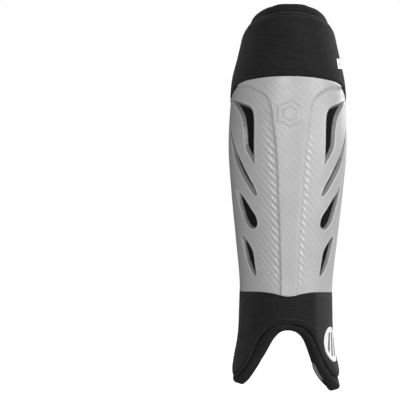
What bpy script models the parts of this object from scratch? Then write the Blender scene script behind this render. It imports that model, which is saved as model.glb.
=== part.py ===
"""Left-leg field hockey shin guard.

A vented plastic shell sits on a foam board, with a padded knee cuff above it and a padded ankle arch with two
lobes below it. A softer liner with a rolled edge is held inside by hook-and-loop dots. Two elastic straps are
sewn to the inner wing and close on loop patches on the outer wing.

Every layer is a sheet cut from one flat pattern. The pattern's coordinates are the girth u, measured round the
leg from the shin line, and the height z. A layer's depth is its distance outwards from the shell's outer face.
All of these are in millimetres, and place() turns them into metres. +X is the guard's outer side, -Y the
front, +Z up, and the origin lies under the middle of the guard.
"""

import math

import bpy
import numpy as np
from mathutils.geometry import delaunay_2d_cdt

MM = 0.001

# The leg form: height, half width, and depth from the leg's axis to the front.
FORM = np.array([
    (0, 56.2, 56.0), (18, 51.2, 52.0), (45, 45.3, 47.5), (75, 43.6, 46.3), (95, 43.2, 46.5), (140, 47.3, 50.0),
    (185, 52.1, 54.5), (225, 55.1, 57.0), (265, 53.8, 57.5), (290, 51.7, 57.0), (310, 47.0, 55.8),
    (330, 42.3, 54.0), (358, 37.0, 50.0),
])
GIRTH_RADIUS = 52.0  # one radian of girth round the form
REAR_SHARE = 0.91  # depth behind the leg's axis, as a share of the depth in front of it
AXIS_Y = 5.1  # the leg's axis behind the middle of the whole guard
WING_START = 80.0  # girth where the wings begin to sit lower than the shell
WING_DROP = 1.5

# Outlines in the flat pattern, from the top middle round the wing, then round each lobe to the arch.
COVER_TOP = [
    (0, 352), (19, 351.2), (32, 348.9), (46, 345.8), (58, 342.4), (70, 338), (80, 331.5), (90, 320), (97, 305),
    (101.5, 284), (103.5, 255), (103.5, 215), (101, 165), (97, 115), (94, 85),
]
COVER_OUTER_LOBE = [
    (91, 60), (87, 41), (83, 28.5), (79, 20.5), (74.5, 15.8), (68.5, 13.6), (62.5, 14.6), (56.4, 18.2), (49.5, 25),
    (44, 33.3), (38.8, 43), (33.6, 50.8), (25.5, 57), (14, 61.3), (0, 62.4),
]
COVER_INNER_LOBE = [
    (91, 60), (87, 42), (82, 29.5), (76, 20), (70, 15), (64.5, 13.2), (59, 14.4), (53.5, 18.4), (47, 25),
    (42.5, 33.5), (38.5, 43), (32.5, 51), (23, 57.8), (12, 61.7),
]
LINER_TOP = [
    (0, 359), (12, 359), (24, 358.4), (35.5, 357.2), (46, 355.2), (56, 352.4), (66, 348.8), (75, 344),
    (83, 337), (90, 327), (93.5, 315), (95.5, 300), (97, 280), (98, 255), (98, 215), (96, 165), (92, 115),
    (89.5, 85),
]
LINER_OUTER_LOBE = [
    (88.5, 62), (89, 44), (88, 28), (85.5, 15.5), (81.5, 7.3), (76.5, 3.4), (71, 3), (64, 5.1), (55, 9),
    (47, 13.4), (40.5, 19.5), (36.6, 27), (34.2, 35), (30, 43), (24.5, 49.2), (17, 53.6), (9, 55.8), (0, 56.4),
]
LINER_INNER_LOBE = [
    (89, 62), (88.5, 46), (86, 31), (82, 19.5), (76.5, 11.6), (70, 8.4), (63, 9), (55.5, 12.6), (49.5, 17.4),
    (43.6, 23.5), (37.4, 30.4), (31, 37.6), (23.6, 46), (17, 51.2), (9, 55.2),
]
SHELL = [
    (0, 291.7), (20, 290.8), (37, 288.6), (49, 286.4), (58, 283.2), (66, 279), (74, 274.3), (79.5, 269),
    (82, 258), (82, 225), (82, 190), (81.5, 150), (81, 115), (80.6, 99), (78.5, 93), (73, 91.4), (42, 91.6),
    (28, 91.3), (16, 90), (8, 88.4), (0, 87.6),
]
BAND = [
    (0, 310), (66, 310), (62, 283.5), (41, 280.9), (30, 276.6), (23.5, 272.4), (20, 266.5), (18.2, 260),
    (17, 250), (15.3, 240), (12.8, 215), (11.5, 176), (10.2, 139), (9.3, 92), (9.2, 70), (0, 70),
]
VENTS = [
    [(63.5, 267), (53.6, 266), (43, 263.4), (38.4, 260.7), (36.2, 256), (35.2, 248.8), (34.8, 238), (34.6, 222.7),
     (34.4, 213.4), (38, 219.2), (41.4, 224), (43.7, 229.5), (44.9, 240.3), (46.1, 246.5), (48.8, 253.8),
     (54.8, 260.9), (60, 264.6)],
    [(61.8, 229.2), (55, 218.6), (48.1, 207.8), (40.8, 196.2), (36.2, 187.6), (43.6, 193.6), (52.2, 205.2),
     (59, 215.8), (62.2, 223)],
    [(57.8, 184.5), (54.6, 182.8), (47.7, 176.1), (40.4, 167.3), (35.5, 160.6), (34.6, 154.4), (37.7, 151.3),
     (43.2, 152.1), (49.1, 158), (53.5, 167.8), (57, 176.5)],
    [(55.5, 141.3), (52.5, 140.3), (47.1, 135.4), (42.2, 128.9), (40.8, 120.1), (40.3, 114.9), (39.6, 109),
     (40.3, 108.2), (44.8, 111.9), (49.6, 119), (52.4, 125), (55, 133.7), (56.2, 139)],
]

# Depths of each layer's outer and inner face, from the shell inwards.
SHELL_FACES = (0.0, -2.2)
BACKING_FACES = (-2.6, -3.4)
FOAM_FACES = (-3.8, -7.8)
LINING_FACES = (-8.2, -9.0)
BINDING_FACES = (-3.8, -9.0)
DOT_FACES = (-9.4, -10.2)
LINER_PAD_FACES = (-10.6, -13.4)
LINER_FACE_FACES = (-13.8, -14.6)
ROLL_FACES = (-3.2, -10.2)
ROLL_ROUND = 3.0  # how far the roll's outer face drops towards its edge
ROLL_MARGIN = 4.0  # and over what width
CUFF_FACE = 0.8  # outer face of the padded knee cuff
ANKLE_FACE = 0.2  # outer face of the padded ankle
COVER_THICKNESS = 0.8
PAD_INNER = -3.0  # inner face of the foam and cups under the covers
PAD_MARGIN = 1.5  # from where a cover has climbed clear of the shell to its foam
LAYER_GAP = 0.4
BAND_RISE = 1.5  # the raised band that runs down the shell
BAND_SLOPE = 2.6  # width of the slope at the band's edge
KNEE_SEAM = 266.0  # the cuff starts here, under the shell's top edge
ANKLE_SEAM = 96.0  # and the ankle here, under its bottom edge
SEAM_GAP = 0.3  # from each seam line to the cover or to the backing
COVER_CLIMB = 3.0  # distance over which a cover climbs from under the shell
EDGE_ROUND = 6.0  # width of the rounded margin of a cover
EDGE_FACE = -2.3  # outer face of a cover at its edge
BINDING_WIDTH = 3.0
SIDE_GAP = 0.8

GRID_U = 10.0
ROWS = (12, 25, 40, 60, 95, 130, 165, 195, 220, 245, 268, 290, 310, 332)
EDGE_STEP = 16.0

# Straps: middle height, width, girth of the hinge line and of the point where the strap meets the outer wing,
# girth of the strap's free end, and the depth of its flat stretch behind the leg's axis.
STRAPS = {
    "upper": {"z": 230.0, "width": 38.0, "hinge": -105.2, "land": 105.0, "end": 90.0, "rear": 47.0},
    "lower": {"z": 130.0, "width": 32.0, "hinge": -99.9, "land": 99.5, "end": 87.0, "rear": 42.0},
}
STRAP_THICKNESS = 1.2
STRAP_FLAT = 20.0  # half length of the flat stretch
STRAP_LEAVE = 36.0  # length of the stretch from the hinge line to the flat one
STRAP_PULL = 34.0  # how firmly the two bends follow their ends' directions
HINGE_GAP = 1.1  # clearance each side of the hinge line
ANCHOR_DEPTH = -1.6
LAND_DEPTH = 0.7
ANCHOR_LENGTH = 17.0
HOOK_FACES = (-0.3, -1.0)
PATCH_FACES = (-1.4, -2.2)

BADGE = {"u": 60.8, "z": 43.3, "radius": 16.6}
BADGE_FACES = (ANKLE_FACE + 1.1, ANKLE_FACE + 0.6)
PRINT_FACES = (CUFF_FACE + 0.9, CUFF_FACE + 0.4)
PRINT = [(57.6, 299.4), (86, 299.4), (87, 309.2), (59.4, 309.2)]
CUPS = {"outer": (61.0, 42.5), "inner": (-62.0, 43.0)}
CUP_RADIUS = 14.0
DOTS = [(0, 318), (0, 118), (-60, 205), (60, 205)]
DOT_RADIUS = 11.0


def clear_scene():
    for obj in list(bpy.data.objects):
        bpy.data.objects.remove(obj)


def make_material(name, colour, roughness):
    """A plain Principled material."""
    material = bpy.data.materials.new(name)
    material.use_nodes = True
    shader = material.node_tree.nodes["Principled BSDF"]
    shader.inputs["Base Color"].default_value = (*colour, 1.0)
    shader.inputs["Roughness"].default_value = roughness
    shader.inputs["Metallic"].default_value = 0.0
    return material


# ---- the flat pattern ----


def curve(points, step):
    """A smooth closed loop through the points, with a point about every step."""
    points = np.array(points, float)
    loop = []
    for a, b, c, d in zip(np.roll(points, 1, 0), points, np.roll(points, -1, 0), np.roll(points, -2, 0)):
        count = max(1, round(np.linalg.norm(c - b) / step))
        for t in np.arange(count) / count:
            bend = (2 * a - 5 * b + 4 * c - d) * t + (3 * b - a - 3 * c + d) * t * t
            loop.append(b + 0.5 * t * (c - a + bend))
    return np.array(loop)


def outline(outer, inner=None, step=EDGE_STEP):
    """A loop from its two half outlines; the inner half mirrors the outer one unless it is given."""
    inner = [(-u, z) for u, z in (outer if inner is None else inner) if u > 0]
    return curve(outer + inner[::-1], step)


def circle(u, z, radius, count=24):
    angles = np.arange(count) * 2 * math.pi / count
    return np.column_stack((u + radius * np.cos(angles), z + radius * np.sin(angles)))


def polygon(points, step):
    """A closed loop with straight sides, with a point about every step."""
    loop = []
    for a, b in zip(np.array(points, float), np.roll(np.array(points, float), -1, 0)):
        count = max(1, round(np.linalg.norm(b - a) / step))
        loop.extend(a + (b - a) * i / count for i in range(count))
    return np.array(loop)


def inside(points, loop):
    """Which of the points lie inside the loop."""
    u, z = np.asarray(points, float).T
    result = np.zeros(len(u), bool)
    for (au, az), (bu, bz) in zip(loop, np.roll(loop, -1, 0)):
        if az != bz:
            crosses = ((az > z) != (bz > z)) & (u < (bu - au) * (z - az) / (bz - az) + au)
            result ^= crosses
    return result


def reach(points, loop):
    """Distance of each point from the loop."""
    points = np.asarray(points, float)
    best = np.full(len(points), np.inf)
    for a, b in zip(loop, np.roll(loop, -1, 0)):
        along = b - a
        share = np.clip((points - a) @ along / (along @ along), 0.0, 1.0)
        best = np.minimum(best, np.linalg.norm(points - a - share[:, None] * along, axis=1))
    return best


def depth_inside(points, loop):
    """Distance of each point inside the loop, negative outside it."""
    return np.where(inside(points, loop), 1.0, -1.0) * reach(points, loop)


def inset(loop, distance):
    """The loop moved inwards, or outwards for a negative distance."""
    along = np.roll(loop, -1, 0) - np.roll(loop, 1, 0)
    across = np.column_stack((-along[:, 1], along[:, 0])) / np.linalg.norm(along, axis=1)[:, None]
    area = np.sum(loop[:, 0] * np.roll(loop[:, 1], -1) - loop[:, 1] * np.roll(loop[:, 0], -1))
    moved = loop + across * distance * np.sign(area)
    return moved[reach(moved, loop) > 0.97 * abs(distance)]


def pattern(keep, loops, lines=()):
    """Cuts a flat sheet into triangles along the loops, lines and grid columns, and keeps what keep() selects."""
    points, edges = [], []
    for loop in loops:
        first = len(points)
        points.extend(loop)
        edges.extend((first + i, first + (i + 1) % len(loop)) for i in range(len(loop)))
    for line in lines:
        first = len(points)
        points.extend(line)
        edges.extend((first + i, first + i + 1) for i in range(len(line) - 1))
    cloud = np.array(points)
    low, high = cloud.min(axis=0) - 1, cloud.max(axis=0) + 1
    for u in np.arange(-110, 111, GRID_U):
        if not low[0] < u < high[0]:
            continue
        heights = [z for z in ROWS if low[1] < z < high[1]]
        free = [z for z in heights if np.min(np.hypot(*(cloud - (u, z)).T)) > 1.5]
        column = [(u, z) for z in (low[1], *free, high[1])]
        edges.extend((len(points) + i, len(points) + i + 1) for i in range(len(column) - 1))
        points.extend(column)
    flat, _, faces, *_ = delaunay_2d_cdt([tuple(map(float, p)) for p in points], edges, [], 0, 1e-5)
    flat = np.array([tuple(p) for p in flat])
    faces = np.array(faces)
    faces = faces[keep(flat[faces].mean(axis=1))]
    used, faces = np.unique(faces, return_inverse=True)
    return flat[used], faces.reshape(-1, 3)


# ---- from the pattern to the solid ----


def form(z):
    """Half width and front depth of the leg form at each height."""
    heights = FORM[:, 0]
    z = np.clip(z, heights[0], heights[-1])
    i = np.clip(np.searchsorted(heights, z, side="right") - 1, 0, len(FORM) - 2)
    span = heights[i + 1] - heights[i]
    t = (z - heights[i]) / span
    result = []
    for values in (FORM[:, 1], FORM[:, 2]):
        slopes = np.gradient(values, heights)
        result.append(values[i] * (1 + 2 * t) * (1 - t) ** 2 + values[i + 1] * t * t * (3 - 2 * t)
                      + span * (slopes[i] * t * (1 - t) ** 2 - slopes[i + 1] * t * t * (1 - t)))
    return result


def form_point(u, z):
    """Points of the leg form, which is the shell's outer face."""
    width, front = form(z)
    turn = u / GIRTH_RADIUS
    depth = front * np.where(np.cos(turn) > 0, 1.0, REAR_SHARE)
    return np.column_stack((width * np.sin(turn), AXIS_Y - depth * np.cos(turn), z))


def place(flat, depth):
    """Puts points of the flat pattern on the leg form, at a depth outwards from it, in metres."""
    u, z = np.asarray(flat, float).T
    across = form_point(u + 0.5, z) - form_point(u - 0.5, z)
    up = form_point(u, z + 0.5) - form_point(u, z - 0.5)
    normal = np.cross(across, up)
    normal /= np.linalg.norm(normal, axis=1)[:, None]
    drop = WING_DROP * ease((np.abs(u) - WING_START) / 10.0)
    return (form_point(u, z) + normal * (depth - drop)[:, None]) * MM


def ease(t):
    """Smooth step from 0 to 1."""
    t = np.clip(t, 0.0, 1.0)
    return t * t * (3 - 2 * t)


def solid(name, faces, outer, inner, material, hinge=None):
    """A closed body between two sheets of the same triangles, fixed or hung on a hinge empty."""
    corners = np.concatenate((faces[:, [0, 1]], faces[:, [1, 2]], faces[:, [2, 0]]))
    directed = {tuple(edge) for edge in corners.tolist()}
    count = len(outer)
    walls = [(b, a, a + count, b + count) for a, b in directed if (b, a) not in directed]
    polygons = faces.tolist() + (faces[:, ::-1] + count).tolist() + sorted(walls)
    origin = np.array(hinge.location) if hinge else np.zeros(3)
    mesh = bpy.data.meshes.new(name)
    mesh.from_pydata((np.concatenate((outer, inner)) - origin).tolist(), [], polygons)
    mesh.materials.append(material)
    mesh.polygons.foreach_set("use_smooth", [True] * (2 * len(faces)) + [False] * len(walls))
    mesh.update()
    obj = bpy.data.objects.new(name, mesh)
    obj.parent = hinge
    bpy.context.scene.collection.objects.link(obj)


def layer(name, cut, faces, material, hinge=None):
    """A sheet of the pattern between two depths; a depth may be a number or a function of the flat points."""
    flat, triangles = cut
    sides = [place(flat, depth(flat) if callable(depth) else np.full(len(flat), depth)) for depth in faces]
    solid(name, triangles, *sides, material, hinge)


# ---- the outer guard ----


def shell_face(flat):
    """The shell's outer face, with its raised band."""
    return BAND_RISE * ease(depth_inside(flat, outline(BAND)) / BAND_SLOPE + 0.5)


def make_shell(material):
    edge = outline(SHELL)
    vents = [curve([(side * u, z) for u, z in vent], 12) for vent in VENTS for side in (-1, 1)]
    band = outline(BAND, step=24)
    steps = [inset(band, reach_in) for reach_in in (-BAND_SLOPE / 2, BAND_SLOPE / 2)]
    steps = [step[depth_inside(step, edge) > 3] for step in steps]

    def keep(points):
        result = inside(points, edge)
        for vent in vents:
            result &= ~inside(points, vent)
        return result

    sides = [half for step in steps for half in (step[step[:, 0] > 0], step[step[:, 0] < 0])]
    cut = pattern(keep, [edge] + vents, lines=[half for half in sides if len(half) > 1])
    layer("shell", cut, (shell_face, SHELL_FACES[1]), material)


def across(z):
    """A level line across the whole pattern."""
    return np.array([(u, z) for u in np.arange(-120, 121, GRID_U)])


def make_backing(material):
    cover = outline(COVER_TOP + COVER_OUTER_LOBE, COVER_TOP + COVER_INNER_LOBE)
    low, high = ANKLE_SEAM + SEAM_GAP, KNEE_SEAM - SEAM_GAP

    def keep(points):
        return inside(points, cover) & (points[:, 1] > low) & (points[:, 1] < high)

    layer("backing", pattern(keep, [cover], [across(low), across(high)]), BACKING_FACES, material)


def make_cover(name, face, seam, up, material):
    """A padded cover that starts at the seam under the shell and ends in a rounded margin."""
    cover = outline(COVER_TOP + COVER_OUTER_LOBE, COVER_TOP + COVER_INNER_LOBE)
    shell = outline(SHELL)

    def clear(points):
        return np.minimum(-depth_inside(points, shell), up * (points[:, 1] - seam))

    def top(points):
        climb = ease((clear(points) - SIDE_GAP) / COVER_CLIMB)
        drop = (face - EDGE_FACE) * (1 - ease(depth_inside(points, cover) / EDGE_ROUND)) ** 1.5
        return BACKING_FACES[0] + climb * np.maximum(face - drop - BACKING_FACES[0], 0)

    def keep(points):
        return inside(points, cover) & (up * (points[:, 1] - seam) > SEAM_GAP)

    loops = [cover, inset(cover, EDGE_ROUND / 2), inset(cover, EDGE_ROUND)]
    loops += [inset(shell, -SIDE_GAP), inset(shell, -SIDE_GAP - COVER_CLIMB)]
    lines = [across(seam + up * SEAM_GAP), across(seam + up * (SIDE_GAP + COVER_CLIMB))]
    cut = pattern(keep, loops, lines)
    layer(name, cut, (top, lambda points: top(points) - COVER_THICKNESS), material)
    return top, clear, cover


def make_pad(name, shape, holes, material):
    """The foam under a cover, with pockets for the cups."""
    top, clear, cover = shape
    climbed = SIDE_GAP + COVER_CLIMB + PAD_MARGIN

    def keep(points):
        result = (depth_inside(points, cover) > EDGE_ROUND / 2) & (clear(points) > climbed)
        for hole in holes:
            result &= ~inside(points, hole)
        return result

    seam, up = (KNEE_SEAM, 1) if name.startswith("knee") else (ANKLE_SEAM, -1)
    shell = inset(outline(SHELL), -climbed)
    line = across(seam + up * climbed)
    cut = pattern(keep, [inset(cover, EDGE_ROUND / 2), inset(cover, EDGE_ROUND), shell] + holes, [line])
    outer = COVER_THICKNESS + 2 * LAYER_GAP
    layer(name, cut, (lambda points: top(points) - outer, PAD_INNER), material)


def make_board(name, faces, material):
    """A full sheet inside the edge binding."""
    edge = inset(outline(COVER_TOP + COVER_OUTER_LOBE, COVER_TOP + COVER_INNER_LOBE), BINDING_WIDTH + LAYER_GAP)
    layer(name, pattern(lambda points: inside(points, edge), [edge]), faces, material)


def make_binding(material):
    edge = outline(COVER_TOP + COVER_OUTER_LOBE, COVER_TOP + COVER_INNER_LOBE)
    inner = inset(edge, BINDING_WIDTH)
    cut = pattern(lambda points: inside(points, edge) & ~inside(points, inner), [edge, inner])
    layer("edge_binding", cut, BINDING_FACES, material)


def make_disc(name, u, z, radius, faces, material):
    loop = circle(u, z, radius)
    layer(name, pattern(lambda points: inside(points, loop), [loop]), faces, material)


def make_print(material):
    loop = polygon(PRINT, 8)
    cut = pattern(lambda points: inside(points, loop), [loop])
    layer("cuff_print", cut, PRINT_FACES, material)


# ---- the liner ----


def liner_edge(distance=0.0):
    edge = outline(LINER_TOP + LINER_OUTER_LOBE, LINER_TOP + LINER_INNER_LOBE)
    return inset(edge, distance) if distance else edge


def make_liner_sheet(name, distance, faces, material):
    edge = liner_edge(distance)
    layer(name, pattern(lambda points: inside(points, edge), [edge]), faces, material)


def make_roll(name, low, high, material):
    """The liner's rolled edge where it stands out past the outer guard."""
    edge = liner_edge()
    cover = inset(outline(COVER_TOP + COVER_OUTER_LOBE, COVER_TOP + COVER_INNER_LOBE), -SIDE_GAP)

    def keep(points):
        between = inside(points, edge) & ~inside(points, cover)
        return between & (points[:, 1] > low) & (points[:, 1] < high)

    def top(points):
        return ROLL_FACES[0] - ROLL_ROUND * (1 - ease(depth_inside(points, edge) / ROLL_MARGIN))

    layer(name, pattern(keep, [edge, cover]), (top, ROLL_FACES[1]), material)


# ---- the straps ----


def strap_path(strap, s, z):
    """The strap's middle line, in millimetres, at distances s in four stretches, for each height z."""
    def wing(u, depth):
        return place(np.column_stack((u, z)), np.full(len(z), depth)) / MM

    def blend(start, start_pull, end, end_pull, t):
        return (start * (1 + 2 * t) * (1 - t) ** 2 + end * t * t * (3 - 2 * t)
                + start_pull * t * (1 - t) ** 2 - end_pull * t * t * (1 - t))

    ones = np.ones(len(z))
    hinge = wing(strap["hinge"] * ones, ANCHOR_DEPTH)
    land = wing(strap["land"] * ones, LAND_DEPTH)
    leave = hinge - wing((strap["hinge"] + 1.0) * ones, ANCHOR_DEPTH)
    arrive = wing((strap["land"] - 1.0) * ones, LAND_DEPTH) - land
    left = np.column_stack((-STRAP_FLAT * ones, (AXIS_Y + strap["rear"]) * ones, z))
    right = left * (-1, 1, 1)
    level = np.column_stack((STRAP_PULL * ones, 0 * ones, 0 * ones))
    t = s[:, None]
    stretches = (
        blend(hinge, leave * STRAP_PULL, left, level, np.clip(t, 0, 1)),
        left + (right - left) * np.clip(t - 1, 0, 1),
        blend(right, level, land, arrive * STRAP_PULL, np.clip(t - 2, 0, 1)),
        wing(strap["land"] + (strap["end"] - strap["land"]) * (s - 3), LAND_DEPTH),
    )
    return np.select([t <= 1, t <= 2, t <= 3], stretches[:3], stretches[3])


def strap_point(strap, s, z, offset):
    """A point at an offset outwards from the strap's middle, in metres."""
    ahead = strap_path(strap, s + 0.01, z) - strap_path(strap, s - 0.01, z)
    normal = np.column_stack((-ahead[:, 1], ahead[:, 0], 0 * s))
    normal /= np.linalg.norm(normal, axis=1)[:, None]
    return (strap_path(strap, s, z) + normal * offset) * MM


def make_hinge(name, strap):
    """An empty on the hinge line, where the webbing is sewn to the inner wing."""
    empty = bpy.data.objects.new(name, None)
    empty.location = place([(strap["hinge"], strap["z"])], np.array([ANCHOR_DEPTH]))[0]
    empty.empty_display_size = 0.01
    bpy.context.scene.collection.objects.link(empty)
    return empty


def make_strap(name, strap, material, hinge):
    """Elastic webbing from the hinge line round behind the leg to the outer wing."""
    start = HINGE_GAP / STRAP_LEAVE
    stations = np.concatenate(([start], np.arange(1, 7) / 6, [2.0], 2 + np.arange(1, 7) / 6, [3.33, 3.67, 4.0]))
    heights = strap["z"] + strap["width"] * np.linspace(-0.5, 0.5, 4)
    s, z = (values.ravel() for values in np.meshgrid(stations, heights))
    columns = len(stations)
    faces = []
    for row in range(len(heights) - 1):
        for column in range(columns - 1):
            a = row * columns + column
            faces += [(a, a + columns + 1, a + 1), (a, a + columns, a + columns + 1)]
    half = STRAP_THICKNESS / 2
    outer, inner = (strap_point(strap, s, z, offset) for offset in (half, -half))
    solid(name, np.array(faces), outer, inner, material, hinge)


def make_tape(name, u0, u1, strap, faces, material, hinge=None):
    """A rectangle of tape on a wing, as tall as the strap, or a little less where it is on the strap."""
    half = strap["width"] / 2 - (1.0 if hinge else 0.0)
    loop = polygon([(u0, strap["z"] - half), (u1, strap["z"] - half), (u1, strap["z"] + half),
                    (u0, strap["z"] + half)], 6)
    layer(name, pattern(lambda points: inside(points, loop), [loop]), faces, material, hinge)


def make_strap_set(side, strap, webbing, hook, pile):
    hinge = make_hinge(side + "_strap_hinge", strap)
    make_strap(side + "_strap", strap, webbing, hinge)
    make_tape(side + "_hook_tab", strap["end"] + 1, strap["land"] - 2.2, strap, HOOK_FACES, hook, hinge)
    make_tape(side + "_loop_patch", strap["end"] + 0.4, strap["land"] - 3, strap, PATCH_FACES, pile)
    root = strap["hinge"] + HINGE_GAP
    half = STRAP_THICKNESS / 2
    faces = (ANCHOR_DEPTH + half, ANCHOR_DEPTH - half)
    make_tape(side + "_strap_anchor", root, root + ANCHOR_LENGTH, strap, faces, webbing)


def main():
    clear_scene()
    grey = make_material("grey polypropylene", (0.46, 0.46, 0.47), 0.36)
    mesh = make_material("black spacer mesh", (0.012, 0.012, 0.012), 0.95)
    jersey = make_material("black jersey", (0.02, 0.02, 0.021), 0.9)
    foam = make_material("grey foam", (0.16, 0.16, 0.17), 0.9)
    tape = make_material("black edging tape", (0.014, 0.014, 0.014), 0.8)
    webbing = make_material("black elastic webbing", (0.018, 0.018, 0.018), 0.85)
    hook = make_material("black hook tape", (0.013, 0.013, 0.013), 0.6)
    pile = make_material("black loop pile", (0.02, 0.02, 0.02), 1.0)
    hard = make_material("black hard plastic", (0.02, 0.02, 0.02), 0.4)
    white = make_material("white print", (0.8, 0.8, 0.8), 0.5)

    make_shell(grey)
    make_backing(mesh)
    cups = {side: circle(u, z, CUP_RADIUS + LAYER_GAP) for side, (u, z) in CUPS.items()}
    knee = make_cover("knee_cover", CUFF_FACE, KNEE_SEAM, 1, jersey)
    make_pad("knee_pad", knee, [], foam)
    ankle = make_cover("ankle_cover", ANKLE_FACE, ANKLE_SEAM, -1, jersey)
    make_pad("ankle_pad", ankle, list(cups.values()), foam)
    cup_faces = (ANKLE_FACE - COVER_THICKNESS - 2 * LAYER_GAP, PAD_INNER)
    for side, (u, z) in CUPS.items():
        make_disc("ankle_cup_" + side, u, z, CUP_RADIUS, cup_faces, hard)
    make_board("foam_board", FOAM_FACES, foam)
    make_board("back_lining", LINING_FACES, pile)
    make_binding(tape)
    make_disc("ankle_badge", BADGE["u"], BADGE["z"], BADGE["radius"], BADGE_FACES, white)
    make_print(white)

    for number, (u, z) in enumerate(DOTS, 1):
        make_disc("liner_hook_dot_%d" % number, u, z, DOT_RADIUS, DOT_FACES, hook)
    make_liner_sheet("liner_pad", 2.0, LINER_PAD_FACES, foam)
    make_liner_sheet("liner_face", 1.0, LINER_FACE_FACES, jersey)
    make_roll("liner_top_roll", 300, 400, jersey)
    make_roll("liner_ankle_roll", -10, 75, jersey)

    for side, strap in STRAPS.items():
        make_strap_set(side, strap, webbing, hook, pile)


main()
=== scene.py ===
"""Looks of a left-leg field hockey shin guard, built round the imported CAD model.

Every soft layer and the shell are sheets of one flat pattern: the girth u round the leg from the shin
line and the height z, in millimetres. A depth is a distance outwards from the shell's outer face.
"""
import math

import bpy
import numpy as np
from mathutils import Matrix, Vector
from mathutils.bvhtree import BVHTree
from mathutils.geometry import delaunay_2d_cdt
from mathutils.kdtree import KDTree


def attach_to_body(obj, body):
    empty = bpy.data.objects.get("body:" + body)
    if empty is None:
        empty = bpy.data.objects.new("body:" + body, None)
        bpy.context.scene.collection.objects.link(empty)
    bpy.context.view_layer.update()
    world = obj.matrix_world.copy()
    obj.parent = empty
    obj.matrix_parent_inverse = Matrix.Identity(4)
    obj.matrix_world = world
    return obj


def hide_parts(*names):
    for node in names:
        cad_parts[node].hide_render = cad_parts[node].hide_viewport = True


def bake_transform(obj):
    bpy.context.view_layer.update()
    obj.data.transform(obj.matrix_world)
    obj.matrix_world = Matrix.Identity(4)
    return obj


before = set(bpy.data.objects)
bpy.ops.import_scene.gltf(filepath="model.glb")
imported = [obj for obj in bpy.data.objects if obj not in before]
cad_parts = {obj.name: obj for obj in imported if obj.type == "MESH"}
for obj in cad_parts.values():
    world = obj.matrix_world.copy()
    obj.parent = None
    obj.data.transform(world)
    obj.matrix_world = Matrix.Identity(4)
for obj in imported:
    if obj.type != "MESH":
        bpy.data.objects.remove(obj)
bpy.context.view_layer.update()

MM = 0.001

# ---- the flat pattern, as in the CAD model ----

FORM = np.array([
    (0, 56.2, 56.0), (18, 51.2, 52.0), (45, 45.3, 47.5), (75, 43.6, 46.3), (95, 43.2, 46.5),
    (140, 47.3, 50.0), (185, 52.1, 54.5), (225, 55.1, 57.0), (265, 53.8, 57.5), (290, 51.7, 57.0),
    (310, 47.0, 55.8), (330, 42.3, 54.0), (358, 37.0, 50.0),
])
GIRTH_RADIUS = 52.0
REAR_SHARE = 0.91
AXIS_Y = 5.1
WING_START = 80.0
WING_DROP = 1.5

COVER_TOP = [
    (0, 352), (19, 351.2), (32, 348.9), (46, 345.8), (58, 342.4), (70, 338), (80, 331.5), (90, 320),
    (97, 305), (101.5, 284), (103.5, 255), (103.5, 215), (101, 165), (97, 115), (94, 85),
]
COVER_OUTER_LOBE = [
    (91, 60), (87, 41), (83, 28.5), (79, 20.5), (74.5, 15.8), (68.5, 13.6), (62.5, 14.6), (56.4, 18.2),
    (49.5, 25), (44, 33.3), (38.8, 43), (33.6, 50.8), (25.5, 57), (14, 61.3), (0, 62.4),
]
COVER_INNER_LOBE = [
    (91, 60), (87, 42), (82, 29.5), (76, 20), (70, 15), (64.5, 13.2), (59, 14.4), (53.5, 18.4), (47, 25),
    (42.5, 33.5), (38.5, 43), (32.5, 51), (23, 57.8), (12, 61.7),
]
LINER_TOP = [
    (0, 359), (12, 359), (24, 358.4), (35.5, 357.2), (46, 355.2), (56, 352.4), (66, 348.8), (75, 344),
    (83, 337), (90, 327), (93.5, 315), (95.5, 300), (97, 280), (98, 255), (98, 215), (96, 165), (92, 115),
    (89.5, 85),
]
LINER_OUTER_LOBE = [
    (88.5, 62), (89, 44), (88, 28), (85.5, 15.5), (81.5, 7.3), (76.5, 3.4), (71, 3), (64, 5.1), (55, 9),
    (47, 13.4), (40.5, 19.5), (36.6, 27), (34.2, 35), (30, 43), (24.5, 49.2), (17, 53.6), (9, 55.8),
    (0, 56.4),
]
LINER_INNER_LOBE = [
    (89, 62), (88.5, 46), (86, 31), (82, 19.5), (76.5, 11.6), (70, 8.4), (63, 9), (55.5, 12.6), (49.5, 17.4),
    (43.6, 23.5), (37.4, 30.4), (31, 37.6), (23.6, 46), (17, 51.2), (9, 55.2),
]
SHELL = [
    (0, 291.7), (20, 290.8), (37, 288.6), (49, 286.4), (58, 283.2), (66, 279), (74, 274.3), (79.5, 269),
    (82, 258), (82, 225), (82, 190), (81.5, 150), (81, 115), (80.6, 99), (78.5, 93), (73, 91.4), (42, 91.6),
    (28, 91.3), (16, 90), (8, 88.4), (0, 87.6),
]
BAND = [
    (0, 310), (66, 310), (62, 283.5), (41, 280.9), (30, 276.6), (23.5, 272.4), (20, 266.5), (18.2, 260),
    (17, 250), (15.3, 240), (12.8, 215), (11.5, 176), (10.2, 139), (9.3, 92), (9.2, 70), (0, 70),
]
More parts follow.
